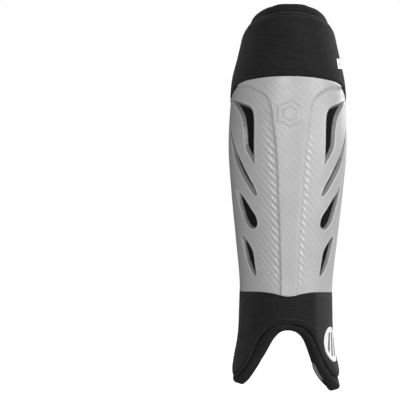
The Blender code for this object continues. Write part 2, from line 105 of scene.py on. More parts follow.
# The lip of each vent's recess, and how far inside it the opening starts.
VENTS = [
    ([(70, 270), (53.4, 267.4), (42.5, 264.8), (37.4, 261.7), (34.9, 256.5), (33.9, 249), (33.5, 238),
      (33.4, 222.7), (33.3, 215), (33.2, 209), (38.9, 217.2), (42.9, 223.2), (45, 229.2), (46.2, 240),
      (47.4, 246), (50, 253), (55.6, 259.7), (64, 265.5)], 2.5),
    ([(70, 245.5), (64.5, 236), (59.7, 228.4), (53.9, 219.4), (47, 208.6), (39.6, 196.8), (34.6, 188.7),
      (31.6, 181.4), (34.3, 180.4), (38.6, 184.4), (45, 192.4), (53.7, 204.1), (60.8, 215), (64.6, 225),
      (68.5, 236)], 2.6),
    ([(60.5, 191.5), (55.4, 185.5), (46.7, 177), (39.6, 168.2), (34.4, 161.2), (33.2, 153.8), (37.3, 149.9),
      (43.8, 150.8), (50.2, 157.2), (54.8, 167.3), (58.8, 178.1)], 1.9),
    ([(57, 143), (52, 141.8), (46, 136.4), (41, 129.4), (39.5, 120.3), (38.9, 114.9), (37.8, 107.2),
      (40.2, 106), (45.8, 110.8), (50.8, 118.4), (53.6, 124.4), (56.3, 133.2), (57.9, 139.8)], 1.8),
]
KNEE_SEAM = 266.0
ANKLE_SEAM = 96.0
STRAPS = {
    "upper": {"z": 230.0, "width": 38.0, "hinge": -105.2, "land": 105.0, "end": 90.0, "rear": 47.0},
    "lower": {"z": 130.0, "width": 32.0, "hinge": -99.9, "land": 99.5, "end": 87.0, "rear": 42.0},
}
ANCHOR_DEPTH = -1.6
LAND_DEPTH = 0.7
STRAP_FLAT = 20.0
STRAP_LEAVE = 36.0
STRAP_PULL = 34.0

# ---- looks ----

SHELL_THICKNESS = 2.2
BAND_RISE = 1.9
BAND_SLOPE = {"inner": 2.1, "outer": 3.2}
RECESS_DEPTH = 2.4
LIP_RISE = 0.4
EDGE_RADIUS = 0.9
KNEE_COVER = {"face": 0.8, "seam": KNEE_SEAM, "up": 1, "step": 2.0, "seed": 11}
ANKLE_COVER = {"face": 0.2, "seam": ANKLE_SEAM, "up": -1, "step": 1.8, "seed": 12}
FOLD = {"u": 33.5, "rise": 0.5}
LINER_BORDER = 7.5
EMBLEM = {"z": 257.5, "radii": (12.0, 6.6), "rise": 0.55, "width": 0.8}
BADGE = {"u": 60.8, "z": 43.3, "radius": 16.2}
BARS = {"count": 4, "u": 58.0, "z": 299.6, "pitch": 7.2, "width": 4.6, "height": 9.4, "slant": 1.8}
CLOTH = {
    "quality": 4, "mass": 0.15, "tension_stiffness": 12, "compression_stiffness": 12, "shear_stiffness": 6,
    "bending_stiffness": 0.4, "use_pressure": True, "uniform_pressure_force": 3.0,
}
TWILL_TOW = 1.75
STITCH = {"length": 2.3, "gap": 1.1, "radius": 0.24}
# Each ring of a stitch: its share of the length, its lift and its thickness in radii.
STITCH_RINGS = np.array([
    (0.0, -0.5, 0.25), (0.12, 0.3, 0.9), (0.5, 0.55, 1.0), (0.88, 0.3, 0.9), (1.0, -0.5, 0.25),
])

# ---- the studio, in metres and watts ----

CAMERA = {"lens": 578.7, "turn": 2.0, "roll": -0.65, "far": 6.0, "beside": 0.0813, "height": 0.1762}
AIM = Vector((0, 0, 0.18))
WORLD = {"left": 0.115, "right": 0.47}
LIGHTS = [
    ("key", (1.45, -0.8, 0.42), (0.8, 1.2), 17.0),
    ("front", (-0.6, -2.5, 0.48), (0.9, 0.9), 36.0),
    ("back", (1.4, 1.9, 1.0), (1.2, 1.2), 36.0),
]


def ease(t):
    """Smooth step from 0 to 1."""
    t = np.clip(t, 0.0, 1.0)
    return t * t * (3 - 2 * t)


def curve(points, step):
    """A smooth closed loop through the points, with a point about every step."""
    points = np.array(points, float)
    loop = []
    for a, b, c, d in zip(np.roll(points, 1, 0), points, np.roll(points, -1, 0), np.roll(points, -2, 0)):
        count = max(1, round(np.linalg.norm(c - b) / step))
        for t in np.arange(count) / count:
            bend = (2 * a - 5 * b + 4 * c - d) * t + (3 * b - a - 3 * c + d) * t * t
            loop.append(b + 0.5 * t * (c - a + bend))
    return np.array(loop)


def outline(outer, inner=None, step=2.0):
    """A loop from its two half outlines; the inner half mirrors the outer one unless it is given."""
    inner = [(-u, z) for u, z in (outer if inner is None else inner) if u > 0]
    return curve(outer + inner[::-1], step)


def cover_loop(step=2.0):
    return outline(COVER_TOP + COVER_OUTER_LOBE, COVER_TOP + COVER_INNER_LOBE, step)


def rounded(u0, u1, z0, z1, radius, step=1.5):
    """A rectangle with round corners."""
    loop = []
    for cu, cz, turn in ((u1, z1, 0), (u0, z1, 1), (u0, z0, 2), (u1, z0, 3)):
        cu += radius * (-1 if cu == u1 else 1)
        cz += radius * (-1 if cz == z1 else 1)
        for i in range(5):
            angle = (turn + i / 4) * math.pi / 2
            loop.append((cu + radius * math.cos(angle), cz + radius * math.sin(angle)))
    result = []
    for a, b in zip(np.array(loop), np.roll(np.array(loop), -1, 0)):
        count = max(1, round(np.linalg.norm(b - a) / step))
        result.extend(a + (b - a) * i / count for i in range(count))
    return np.array(result)


def inside(points, loop):
    """Which of the points lie inside the loop."""
    u, z = np.asarray(points, float).T
    result = np.zeros(len(u), bool)
    for (au, az), (bu, bz) in zip(loop, np.roll(loop, -1, 0)):
        if az != bz:
            result ^= ((az > z) != (bz > z)) & (u < (bu - au) * (z - az) / (bz - az) + au)
    return result


def reach(points, loop):
    """Distance of each point from the loop."""
    points = np.asarray(points, float)
    best = np.full(len(points), np.inf)
    for a, b in zip(loop, np.roll(loop, -1, 0)):
        along = b - a
        share = np.clip((points - a) @ along / (along @ along), 0.0, 1.0)
        best = np.minimum(best, np.linalg.norm(points - a - share[:, None] * along, axis=1))
    return best


def depth_inside(points, loop):
    """Distance of each point inside the loop, negative outside it."""
    return np.where(inside(points, loop), 1.0, -1.0) * reach(points, loop)


def unit(vectors):
    return vectors / np.linalg.norm(vectors, axis=1)[:, None]


def across(along):
    """Unit vectors a quarter turn to the left of the given ones."""
    return unit(np.column_stack((-along[:, 1], along[:, 0])))


def normals(loop):
    """Inward normals of a loop."""
    area = np.sum(loop[:, 0] * np.roll(loop[:, 1], -1) - loop[:, 1] * np.roll(loop[:, 0], -1))
    return across(np.roll(loop, -1, 0) - np.roll(loop, 1, 0)) * np.sign(area)


def inset(loop, distance):
    """The loop moved inwards, or outwards for a negative distance."""
    moved = loop + normals(loop) * distance
    return moved[reach(moved, loop) > 0.97 * abs(distance)]


def pattern(keep, loops, step, lines=(), dense=()):
    """Triangles of the flat sheet that keep() selects, cut along the loops and lines."""
    points, edges = [], []
    for line, closed in [(loop, True) for loop in loops] + [(line, False) for line in lines]:
        first, count = len(points), len(line)
        points.extend(line)
        edges.extend((first + i, first + (i + 1) % count) for i in range(count if closed else count - 1))
    cloud = np.array(points)
    low, high = cloud.min(axis=0), cloud.max(axis=0)
    rows = np.arange(low[1], high[1], step * 0.87)
    columns = np.arange(low[0] - step, high[0] + step, step)
    grid = np.array([(u + (row % 2) * step / 2, z) for row, z in enumerate(rows) for u in columns])
    tree = KDTree(len(cloud))
    for i, spot in enumerate(cloud):
        tree.insert((*spot, 0), i)
    tree.balance()
    points.extend(spot for spot in grid[keep(grid)] if tree.find((*spot, 0))[2] > 0.55 * step)
    points.extend(dense)
    flat, _, faces, *_ = delaunay_2d_cdt([tuple(map(float, p)) for p in points], edges, [], 0, 1e-5, False)
    flat = np.array([tuple(p) for p in flat])
    faces = np.array(faces)
    faces = faces[keep(flat[faces].mean(axis=1))]
    used, faces = np.unique(faces, return_inverse=True)
    return flat[used], faces.reshape(-1, 3)


def form(z):
    """Half width and front depth of the leg form at each height."""
    heights = FORM[:, 0]
    z = np.clip(z, heights[0], heights[-1])
    i = np.clip(np.searchsorted(heights, z, side="right") - 1, 0, len(FORM) - 2)
    span = heights[i + 1] - heights[i]
    t = (z - heights[i]) / span
    result = []
    for values in (FORM[:, 1], FORM[:, 2]):
        slopes = np.gradient(values, heights)
        result.append(values[i] * (1 + 2 * t) * (1 - t) ** 2 + values[i + 1] * t * t * (3 - 2 * t)
                      + span * (slopes[i] * t * (1 - t) ** 2 - slopes[i + 1] * t * t * (1 - t)))
    return result


def form_point(u, z):
    width, front = form(z)
    turn = u / GIRTH_RADIUS
    depth = front * np.where(np.cos(turn) > 0, 1.0, REAR_SHARE)
    return np.column_stack((width * np.sin(turn), AXIS_Y - depth * np.cos(turn), z))


def place(flat, depth):
    """Puts points of the flat pattern on the leg form, at a depth outwards from it, in metres."""
    u, z = np.asarray(flat, float).T
    round_leg = form_point(u + 0.5, z) - form_point(u - 0.5, z)
    up = form_point(u, z + 0.5) - form_point(u, z - 0.5)
    normal = unit(np.cross(round_leg, up))
    drop = WING_DROP * ease((np.abs(u) - WING_START) / 10.0)
    return (form_point(u, z) + normal * (np.broadcast_to(depth, len(u)) - drop)[:, None]) * MM


def ramp(t):
    """A straight slope from 0 to 1 with small rounded ends."""
    return 0.35 * ease(t) + 0.65 * np.clip((np.asarray(t) - 0.08) / 0.84, 0.0, 1.0)


def waves(points, size, seed):
    """Smooth unevenness between -1 and 1, the same each run."""
    rng = np.random.default_rng(seed)
    total = np.zeros(len(points))
    for _ in range(7):
        angle, phase = rng.uniform(0, 2 * math.pi), rng.uniform(0, 2 * math.pi)
        stretch = rng.uniform(0.7, 1.5)
        along = points @ np.array((math.cos(angle), math.sin(angle)))
        total += np.sin(2 * math.pi * along / (size * stretch) + phase)
    return total / 4.0


# ---- meshes ----


def link(obj):
    bpy.context.scene.collection.objects.link(obj)
    return obj


def attach(obj, body, slot, *nodes):
    """The piece rides a body and stands for CAD nodes; the slot argument is not used."""
    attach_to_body(obj, body)
    if nodes:
        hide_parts(*nodes)


def new_object(name, points, polygons, flat, materials, smooth_angle, slots=None):
    mesh = bpy.data.meshes.new(name)
    mesh.from_pydata(points.tolist(), [], polygons)
    attribute = mesh.attributes.new("flat", "FLOAT_VECTOR", "POINT")
    attribute.data.foreach_set("vector", np.column_stack((flat, np.zeros(len(flat)))).ravel())
    for material in materials:
        mesh.materials.append(material)
    if slots is not None:
        mesh.polygons.foreach_set("material_index", slots)
    mesh.shade_smooth()
    mesh.set_sharp_from_angle(angle=math.radians(smooth_angle))
    mesh.update()
    return link(bpy.data.objects.new(name, mesh))


def sheet_solid(name, cut, outer, inner, materials, inner_slot=0, smooth_angle=60):
    """A closed body between two depths of the same flat cut."""
    flat, faces = cut
    count = len(flat)
    corners = np.concatenate((faces[:, [0, 1]], faces[:, [1, 2]], faces[:, [2, 0]]))
    directed = {tuple(edge) for edge in corners.tolist()}
    walls = sorted((b, a, a + count, b + count) for a, b in directed if (b, a) not in directed)
    polygons = faces.tolist() + (faces[:, ::-1] + count).tolist() + walls
    slots = [0] * len(faces) + [inner_slot] * len(faces) + [0] * len(walls)
    points = np.concatenate((place(flat, outer), place(flat, inner)))
    return new_object(name, points, polygons, np.concatenate((flat, flat)), materials, smooth_angle, slots)


def solid(name, points, polygons, flat, material):
    """A closed body of one material, with its faces turned outwards."""
    obj = new_object(name, points, polygons, flat, [material], 60.0)
    obj.data.calc_loop_triangles()
    corners = np.array([triangle.vertices for triangle in obj.data.loop_triangles])
    a, b, c = (points[corners[:, k]] for k in range(3))
    if np.sum(a * np.cross(b, c)) < 0:
        obj.data.flip_normals()
    return obj


def loft(name, rows, flats, material, closed):
    """A closed body through rows of points that run along a line, one row for each point of its profile."""
    points, flat = np.stack(rows, 1), np.stack(flats, 1)
    count, turns = points.shape[:2]
    polygons = []
    for i in range(count if closed else count - 1):
        here, ahead = i * turns, (i + 1) % count * turns
        for j in range(turns):
            k = (j + 1) % turns
            polygons.append((here + j, here + k, ahead + k, ahead + j))
    if not closed:
        polygons.append(tuple(range(turns))[::-1])
        polygons.append(tuple((count - 1) * turns + j for j in range(turns)))
    return solid(name, points.reshape(-1, 3), polygons, flat.reshape(-1, 2), material)


def sweep(name, line, section, material, closed=True):
    """A profile of (inward distance, depth) points swept along a line of the flat pattern."""
    sides = normals(line) if closed else line_normals(line)
    flats = [line + sides * aside for aside, _ in section]
    rows = [place(flat, depth) for flat, (_, depth) in zip(flats, section)]
    return loft(name, rows, flats, material, closed)


def line_normals(line):
    return across(np.gradient(line, axis=0))


def ellipse_section(aside, depth, width, height, turns, power):
    """A rounded profile, squarer than an ellipse."""
    section = []
    for i in range(turns):
        angle = 2 * math.pi * i / turns
        c, s = math.cos(angle), math.sin(angle)
        section.append((aside + width / 2 * math.copysign(abs(c) ** (2 / power), c),
                        depth + height / 2 * math.copysign(abs(s) ** (2 / power), s)))
    return section


def stitches(name, lines, depth, material, slot, body="guard"):
    """Short thread stitches along lines of the flat pattern, lying at a depth (a number or a function)."""
    length, gap, radius = STITCH.values()
    share, lift, thick = STITCH_RINGS.T[:, :, None]
    rings, turns = len(STITCH_RINGS), 6
    angles = np.arange(turns) * 2 * math.pi / turns
    flats, depths = [], []
    for line, closed in lines:
        line = np.vstack((line, line[:1])) if closed else np.asarray(line, float)
        along = np.concatenate(([0], np.cumsum(np.linalg.norm(np.diff(line, axis=0), axis=1))))
        count = int(along[-1] // (length + gap))
        for start in (np.arange(count) + 0.2) * along[-1] / count:
            marks = start + share[:, 0] * length
            spots = np.column_stack([np.interp(marks, along, line[:, k]) for k in range(2)])
            level = depth(spots) if callable(depth) else np.full(rings, depth)
            aside = np.cos(angles) * radius * thick
            flats.append(spots[:, None] + line_normals(spots)[:, None] * aside[:, :, None])
            depths.append(level[:, None] + (lift + np.sin(angles) * thick) * radius)
    flats, depths = np.reshape(flats, (-1, 2)), np.ravel(depths)
    polygons = []
    for first in range(0, len(flats), rings * turns):
        for here in range(first, first + (rings - 1) * turns, turns):
            for turn in range(turns):
                a, b = here + turn, here + (turn + 1) % turns
                polygons.append((a, b, b + turns, a + turns))
        polygons.append(tuple(range(first, first + turns))[::-1])
        polygons.append(tuple(range(first + (rings - 1) * turns, first + rings * turns)))
    attach(solid(name, place(flats, depths), polygons, flats, material), body, slot)


def surface_depth(obj, flat):
    """How far out the object's surface lies over each point of the flat pattern."""
    high, low = 12.0, -4.0
    tree = BVHTree.FromPolygons([v.co for v in obj.data.vertices], [p.vertices[:] for p in obj.data.polygons])
    start, end = place(flat, high), place(flat, low)
    result = np.full(len(flat), low)
    for i, (a, b) in enumerate(zip(start, end)):
        ray = Vector(b - a)
        hit = tree.ray_cast(Vector(a), ray.normalized(), ray.length)[0]
        if hit is not None:
            result[i] = high - (hit - Vector(a)).length / MM
    return result


def puff(obj, free, cap):
    """Swells the free points with a cloth simulation, and keeps the result in the mesh."""
    mesh = obj.data
    group = obj.vertex_groups.new(name="held")
    group.add([i for i, share in enumerate(free) if share <= 0], 1.0, "REPLACE")
    cloth = obj.modifiers.new("swell", "CLOTH")
    for key, value in CLOTH.items():
        setattr(cloth.settings, key, value)
    cloth.settings.vertex_group_mass = "held"
    cloth.settings.effector_weights.gravity = 0
    cloth.collision_settings.use_collision = False
    scene = bpy.context.scene
    for number in range(1, 21):
        scene.frame_set(number)
    swollen = obj.evaluated_get(bpy.context.evaluated_depsgraph_get()).to_mesh()
    before = np.array([v.co for v in mesh.vertices])
    move = np.array([v.co for v in swollen.vertices]) - before
    size = np.linalg.norm(move, axis=1)
    limit = cap * MM * np.tanh(size / (cap * MM))
    move *= (limit / np.maximum(size, 1e-9) * np.clip(free, 0, 1))[:, None]
    obj.modifiers.remove(cloth)
    obj.vertex_groups.remove(group)
    scene.frame_set(1)
    mesh.vertices.foreach_set("co", (before + move).ravel())
    mesh.update()


# ---- materials ----


def grey(level):
    return (level, level, level)


class Nodes:
    """A node tree with short names for what it is built from."""

    def __init__(self, tree):
        self.tree = tree

    def plug(self, value, socket):
        """Links an output to the socket, or gives the socket a constant."""
        if hasattr(value, "is_linked"):
            self.tree.links.new(value, socket)
        else:
            socket.default_value = value

    def node(self, kind, *inputs, **settings):
        node = self.tree.nodes.new("ShaderNode" + kind)
        for key, value in settings.items():
            setattr(node, key, value)
        for socket, value in zip(node.inputs, inputs):
            self.plug(value, socket)
        return node

    def math(self, operation, *values):
        return self.node("Math", *values, operation=operation).outputs[0]

    def add(self, first, second):
        return self.math("ADD", first, second)

    def sub(self, first, second):
        return self.math("SUBTRACT", first, second)

    def mul(self, first, second):
        return self.math("MULTIPLY", first, second)

    def mul_add(self, first, second, third):
        return self.math("MULTIPLY_ADD", first, second, third)

    def flat(self):
        """Girth and height in the flat pattern, in millimetres."""
        attribute = self.node("Attribute", attribute_name="flat")
        split = self.node("SeparateXYZ", attribute.outputs["Vector"])
        return attribute.outputs["Vector"], split.outputs[0], split.outputs[1]

    def value(self, name):
        return self.node("Attribute", attribute_name=name).outputs["Fac"]

    def noise(self, vector, scale, detail=2.0, rough=0.5):
        node = self.node("TexNoise")
        for key, value in (("Vector", vector), ("Scale", scale), ("Detail", detail), ("Roughness", rough)):
            self.plug(value, node.inputs[key])
        return node.outputs[0]

    def spread(self, value, low, high, out_low=0.0, out_high=1.0):
        return self.node("MapRange", value, low, high, out_low, out_high).outputs[0]

    def mix(self, share, first, second):
        node = self.node("Mix", data_type="RGBA")
        colours = [socket for socket in node.inputs if socket.type == "RGBA"]
        self.plug(share, node.inputs[0])
        for socket, value in zip(colours, (first, second)):
            self.plug((*value, 1.0) if isinstance(value, tuple) else value, socket)
        return [socket for socket in node.outputs if socket.type == "RGBA"][0]


class Material(Nodes):
    """A Principled material."""

    def __init__(self, name, colour, roughness, specular=0.5, **sockets):
        self.data = bpy.data.materials.new(name)
        self.data.use_nodes = True
        self.data.diffuse_color = (*colour, 1.0)
        super().__init__(self.data.node_tree)
        self.shader = self.tree.nodes["Principled BSDF"]
        self.set("Base Color", (*colour, 1.0))
        self.set("Roughness", roughness)
        self.set("Specular IOR Level", specular)
        for socket, value in sockets.items():
            self.set(socket.replace("_", " "), value)

    def set(self, socket, value):
        self.plug(value, self.shader.inputs[socket])

    def bump(self, height, distance, strength=1.0, normal=None):
        node = self.node("Bump")
        node.inputs["Strength"].default_value = strength
        node.inputs["Distance"].default_value = distance
        self.plug(height, node.inputs["Height"])
        if normal is not None:
            self.plug(normal, node.inputs["Normal"])
        self.set("Normal", node.outputs[0])
        return node.outputs[0]


def wave(material, value, period):
    """A sine between 0 and 1 along a coordinate."""
    turn = material.mul(value, 2 * math.pi / period)
    return material.mul_add(material.math("SINE", turn), 0.5, 0.5)


def shell_material():
    """Grey polypropylene with a moulded twill that fades out beside the vents, painted glints beside the
    band, painted rim highlights and painted shade in the vent recesses and a crease.
    """
    m = Material("grey_polypropylene", (0.42, 0.42, 0.425), 0.36, 0.42)
    vector, u, z = m.flat()
    turn = m.mul(m.add(u, z), 2 * math.pi / (4 * TWILL_TOW))
    warp = m.spread(m.math("SINE", turn), -0.3, 0.3)
    over_u = m.math("ABSOLUTE", m.math("SINE", m.mul(u, math.pi / TWILL_TOW)))
    over_z = m.math("ABSOLUTE", m.math("SINE", m.mul(z, math.pi / TWILL_TOW)))
    height = m.add(m.mul(warp, m.mul_add(over_u, 0.8, 0.5)), m.mul(m.sub(1.0, warp), m.mul(over_z, 0.6)))
    weave, glint = m.value("weave"), m.value("glint")
    grain = m.noise(vector, 2.2, 3.0)
    blotch = m.noise(vector, 0.05)
    tone = m.add(m.mul(m.mul(warp, weave), 0.28), m.spread(blotch, 0.3, 0.7, 0.0, 0.3))
    colour = m.mix(tone, (0.45, 0.45, 0.455), (0.56, 0.56, 0.565))
    # Painted glints: beside the band the twill floats are painted near white, broken up by noise; the glint
    # mask also lowers roughness and deepens the relief below.
    glint_breakup = m.spread(m.noise(vector, 0.35, 2.0, 0.6), 0.34, 0.5, 0.2, 1.0)
    painted_glint = m.mul(m.mul(m.math("POWER", over_u, 1.5), m.mul(warp, glint)), glint_breakup)
    colour = m.mix(painted_glint, colour, grey(0.95))
    # Painted highlights on the vent lips and the band's right edge, and wear with painted highlight along the
    # shell's edge, broken up by noise.
    rim_breakup = m.noise(vector, 0.7, 4.0, 0.7)
    edge = m.mul(m.value("rim_wear_and_highlight"), m.spread(rim_breakup, 0.35, 0.6, 0.3, 1.0))
    colour = m.mix(edge, colour, (0.68, 0.68, 0.69))
    # Painted shade: the vent recesses and the crease beside the band's right edge are painted darker.
    m.set("Base Color", m.mix(m.mul(m.value("painted_shade"), 0.85), colour, grey(0.15)))
    m.set("Roughness", m.sub(m.spread(grain, 0.3, 0.7, 0.32, 0.42), m.mul(glint, 0.1)))
    relief = m.mul(m.mul(height, weave), m.mul_add(glint, 1.2, 1.0))
    woven = m.bump(relief, 0.0002)
    m.bump(grain, 0.00004, 0.6, woven)
    return m.data


def jersey_material(name, colour, light, knit=1.15, sheen=0.35):
    """Fine knitted jersey: rows of small loops, faint courses, a little fuzz and uneven dye, a lighter outer
    ankle side as painted side light, and a painted highlight on the liner's edge.
    """
    m = Material(name, colour, 0.92, 0.12, Sheen_Weight=sheen, Sheen_Roughness=0.38)
    vector, u, z = m.flat()
    bend = m.mul_add(m.math("SINE", m.mul(u, 2 * math.pi / knit)), knit * 0.22, z)
    loops = m.mul(wave(m, bend, knit * 0.85), wave(m, u, knit))
    streak = m.node("CombineXYZ", m.mul(u, 0.05), m.mul(z, 0.55)).outputs[0]
    courses = m.noise(streak, 1.0, 2.0, 0.6)
    fuzz = m.noise(vector, 1.1, 4.0, 0.65)
    specks = m.spread(m.noise(vector, 0.5), 0.58, 0.7)
    blotch = m.noise(vector, 0.06, 3.0)
    tone = m.add(m.mul_add(courses, 0.7, m.mul(loops, 0.35)), m.mul(m.add(fuzz, blotch), 0.35))
    shade = m.mix(m.spread(tone, 0.35, 1.15), colour, light)
    # Painted side light: the ankle's outer side beyond the fold is painted lighter.
    shade = m.mix(m.mul(m.value("painted_sidelight"), 0.58), shade, tuple(c * 2.2 for c in light))
    shade = m.mix(m.mul(specks, 0.35), shade, tuple(c * 1.9 for c in light))
    # Painted highlight: where the mask is set, the colour turns light grey.
    m.set("Base Color", m.mix(m.spread(m.value("painted_sliver_highlight"), 0.3, 0.7), shade, grey(0.30)))
    m.set("Roughness", m.spread(fuzz, 0.3, 0.7, 0.85, 0.98))
    height = m.add(m.mul_add(courses, 0.8, loops), m.mul(fuzz, 0.6))
    m.bump(height, 0.0003, 0.8)
    return m.data


def mesh_material(name, colour, light, cell=2.6):
    """Spacer mesh: small holes in a honeycomb."""
    m = Material(name, colour, 0.9, 0.1, Sheen_Weight=0.05)
    vector, u, z = m.flat()
    row = m.math("FLOOR", m.math("DIVIDE", z, cell * 0.87))
    half = m.mul(m.math("FLOORED_MODULO", row, 2.0), cell / 2)
    du = m.sub(m.math("FLOORED_MODULO", m.add(u, half), cell), cell / 2)
    dz = m.sub(m.math("FLOORED_MODULO", z, cell * 0.87), cell * 0.435)
    radius = m.math("SQRT", m.add(m.mul(du, du), m.mul(dz, dz)))
    web = m.spread(radius, cell * 0.2, cell * 0.38)
    fuzz = m.noise(vector, 1.8, 3.0)
    m.set("Base Color", m.mix(web, tuple(c * 0.3 for c in colour), light))
    m.bump(m.add(web, m.mul(fuzz, 0.4)), 0.0004, 0.8)
    return m.data


def webbing_material():
    """Elastic webbing: ribs along the strap, crossed by the weave."""
    m = Material("elastic_webbing", (0.018, 0.018, 0.019), 0.85, 0.3, Sheen_Weight=0.2)
    vector, u, z = m.flat()
    ribs = wave(m, z, 1.6)
    picks = wave(m, m.mul_add(m.math("GREATER_THAN", ribs, 0.5), 0.5, u), 1.0)
    fuzz = m.noise(vector, 1.5, 3.0)
    height = m.add(m.mul(ribs, 0.8), m.mul(picks, 0.4))
    tone = m.mul_add(height, 0.6, m.mul(fuzz, 0.4))
    m.set("Base Color", m.mix(tone, grey(0.010), (0.030, 0.030, 0.031)))
    m.bump(height, 0.0003, 0.8)
    return m.data


def pile_material():
    """Brushed loop pile: fine bristly noise."""
    dark, light = grey(0.012), (0.035, 0.035, 0.036)
    m = Material("loop_pile", dark, 0.95, 0.2, Sheen_Weight=0.3)
    hairs = m.noise(m.flat()[0], 2.6, 5.0, 0.75)
    m.set("Base Color", m.mix(m.spread(hairs, 0.35, 0.65), dark, light))
    m.bump(hairs, 0.0007, 0.9)
    return m.data


def hook_material():
    """Hook tape: rows of small moulded hooks."""
    m = Material("hook_tape", grey(0.012), 0.45, 0.4)
    _, u, z = m.flat()
    hooks = m.mul(wave(m, u, 1.4), wave(m, z, 1.1))
    tops = m.spread(hooks, 0.3, 0.75)
    m.set("Base Color", m.mix(tops, grey(0.006), grey(0.03)))
    m.bump(tops, 0.0005, 0.9)
    return m.data


def foam_material():
    """Closed-cell foam on the CAD solids inside."""
    m = Material("closed_cell_foam", (0.05, 0.05, 0.052), 0.9, 0.3)
    spot = m.node("TexCoord").outputs["Object"]
    cells = m.noise(spot, 1400.0, 3.0, 0.6)
    shade = m.spread(cells, 0.35, 0.65)
    m.set("Base Color", m.mix(shade, (0.03, 0.03, 0.031), (0.07, 0.07, 0.072)))
    m.bump(cells, 0.0003, 0.6)
    return m.data


def print_material(name, worn):
    """Matt white transfer print with fine speckle."""
    m = Material(name, grey(0.8), 0.45, 0.4)
    speck = m.noise(m.flat()[0], 2.4, 4.0, 0.7)
    white = m.mix(m.spread(speck, 0.28, 0.36, 1.0, 0.0), grey(0.86), worn)
    m.set("Base Color", white)
    m.bump(speck, 0.00006, 0.6)
    return m, white


def badge_material():
    """White transfer print with three slanted dark bars."""
    m, white = print_material("badge_print", grey(0.6))
    _, u, z = m.flat()
    du, dz = m.sub(u, BADGE["u"]), m.sub(z, BADGE["z"])
    radius = m.math("SQRT", m.add(m.mul(du, du), m.mul(dz, dz)))
    slant = m.mul_add(dz, -0.32, du)
    bars = m.math("ABSOLUTE", m.sub(m.math("FLOORED_MODULO", m.add(slant, 10.8), 7.2), 3.6))
    dark = m.mul(m.spread(bars, 1.6, 1.9, 1.0, 0.0), m.spread(radius, 11.4, 11.8, 1.0, 0.0))
    m.set("Base Color", m.mix(dark, white, grey(0.02)))
    return m.data


def plain_material(name, colour, roughness, scale, depth):
    """A single colour broken by fine grain."""
    m = Material(name, colour, roughness)
    spot = m.node("TexCoord").outputs["Object"]
    grain = m.noise(spot, scale, 3.0)
    m.set("Base Color", m.mix(grain, tuple(c * 0.8 for c in colour), tuple(c * 1.2 for c in colour)))
    m.bump(grain, depth, 0.5)
    return m.data


# ---- the outer guard ----


def add_value(obj, name, values, inner=None):
    """Stores a value for each point of the outer face, and the same or another for the inner one."""
    attribute = obj.data.attributes.new(name, "FLOAT", "POINT")
    attribute.data.foreach_set("value", np.concatenate((values, values if inner is None else inner)))


def emblem_lines():
    """A plain double hexagon."""
    turns = np.radians(np.arange(30, 390, 60))
    hexagon = np.column_stack((np.cos(turns), np.sin(turns)))
    return [hexagon * radius + (0, EMBLEM["z"]) for radius in EMBLEM["radii"]]


def vent_loops(step):
    """The lip and the opening of each vent, on both sides."""
    loops = []
    for lip, wall in VENTS:
        loop = curve(lip, step)
        loops += [(loop * (side, 1), inset(loop, wall) * (side, 1)) for side in (-1, 1)]
    return loops


